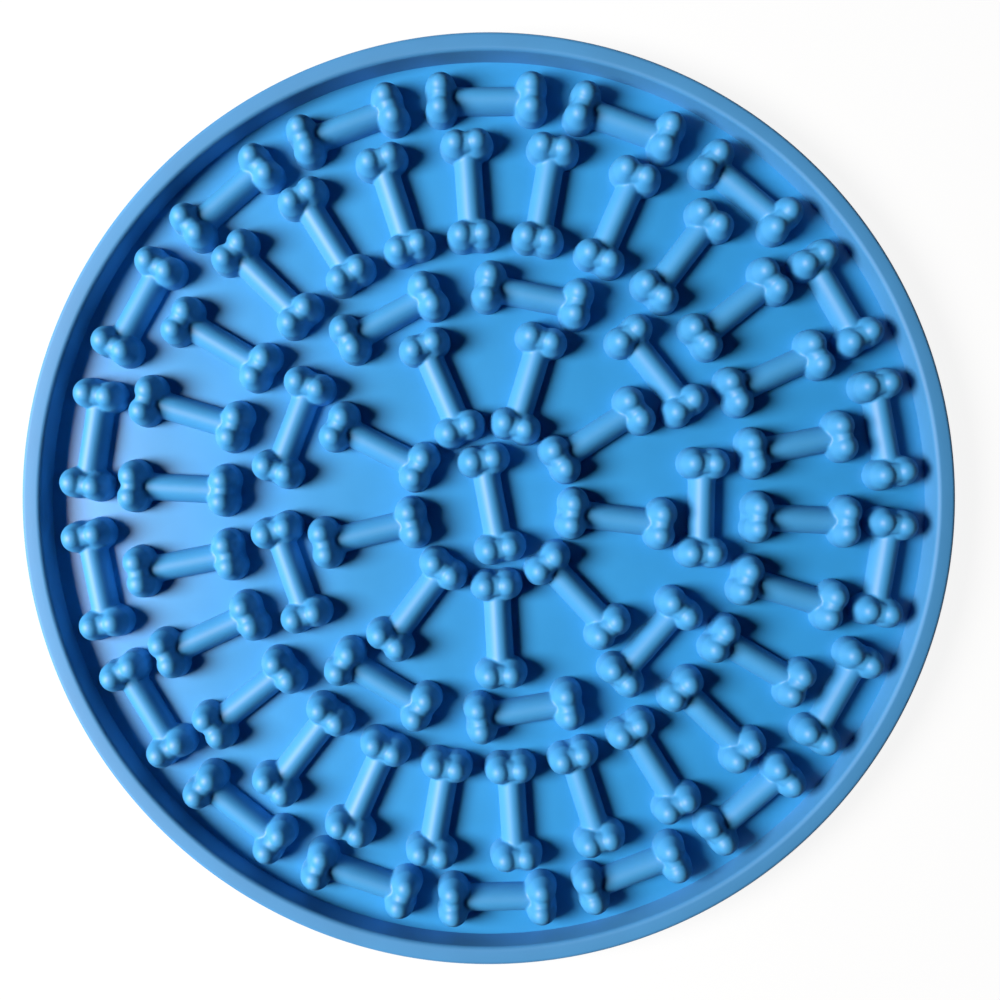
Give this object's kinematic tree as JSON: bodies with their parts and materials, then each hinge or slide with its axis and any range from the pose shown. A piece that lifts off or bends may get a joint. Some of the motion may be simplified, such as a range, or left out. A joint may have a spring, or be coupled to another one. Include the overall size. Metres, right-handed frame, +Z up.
{
  "type": "lick mat",
  "caption": "Round soft lick mat: a flat sheet with a raised rim and rings of raised bone shapes that hold soft food for a pet to lick out.",
  "frame": {"origin": "centre of the flat underside, on the surface that the mat lies on", "axes": "+Z up out of the mat's food side; +X to the right and +Y away, as in the overhead picture"},
  "size_m": [0.2, 0.2, 0.01],
  "materials": {
    "silicone": "satin"
  },
  "bodies": {
    "root": {"centre_bone": "silicone", "first_ring_bone_01": "silicone", "first_ring_bone_02": "silicone", "first_ring_bone_03": "silicone", "first_ring_bone_04": "silicone", "first_ring_bone_05": "silicone", "first_ring_bone_06": "silicone", "first_ring_bone_07": "silicone", "first_ring_bone_08": "silicone", "first_ring_bone_09": "silicone", "floor_sheet": "silicone", "fourth_ring_bone_01": "silicone", "fourth_ring_bone_02": "silicone", "fourth_ring_bone_03": "silicone", "fourth_ring_bone_04": "silicone", "fourth_ring_bone_05": "silicone", "fourth_ring_bone_06": "silicone", "fourth_ring_bone_07": "silicone", "fourth_ring_bone_08": "silicone", "fourth_ring_bone_09": "silicone", "fourth_ring_bone_10": "silicone", "fourth_ring_bone_11": "silicone", "fourth_ring_bone_12": "silicone", "fourth_ring_bone_13": "silicone", "fourth_ring_bone_14": "silicone", "fourth_ring_bone_15": "silicone", "fourth_ring_bone_16": "silicone", "fourth_ring_bone_17": "silicone", "fourth_ring_bone_18": "silicone", "rim": "silicone", "second_ring_bone_01": "silicone", "second_ring_bone_02": "silicone", "second_ring_bone_03": "silicone", "second_ring_bone_04": "silicone", "second_ring_bone_05": "silicone", "second_ring_bone_06": "silicone", "second_ring_bone_07": "silicone", "second_ring_bone_08": "silicone", "second_ring_bone_09": "silicone", "third_ring_bones_01": "silicone", "third_ring_bones_02": "silicone", "third_ring_bones_03": "silicone", "third_ring_bones_04": "silicone", "third_ring_bones_05": "silicone", "third_ring_bones_06": "silicone", "third_ring_bones_07": "silicone", "third_ring_bones_08": "silicone", "third_ring_bones_09": "silicone", "third_ring_bones_10": "silicone", "third_ring_bones_11": "silicone", "third_ring_bones_12": "silicone", "third_ring_bones_13": "silicone"}
  },
  "joints": []
}
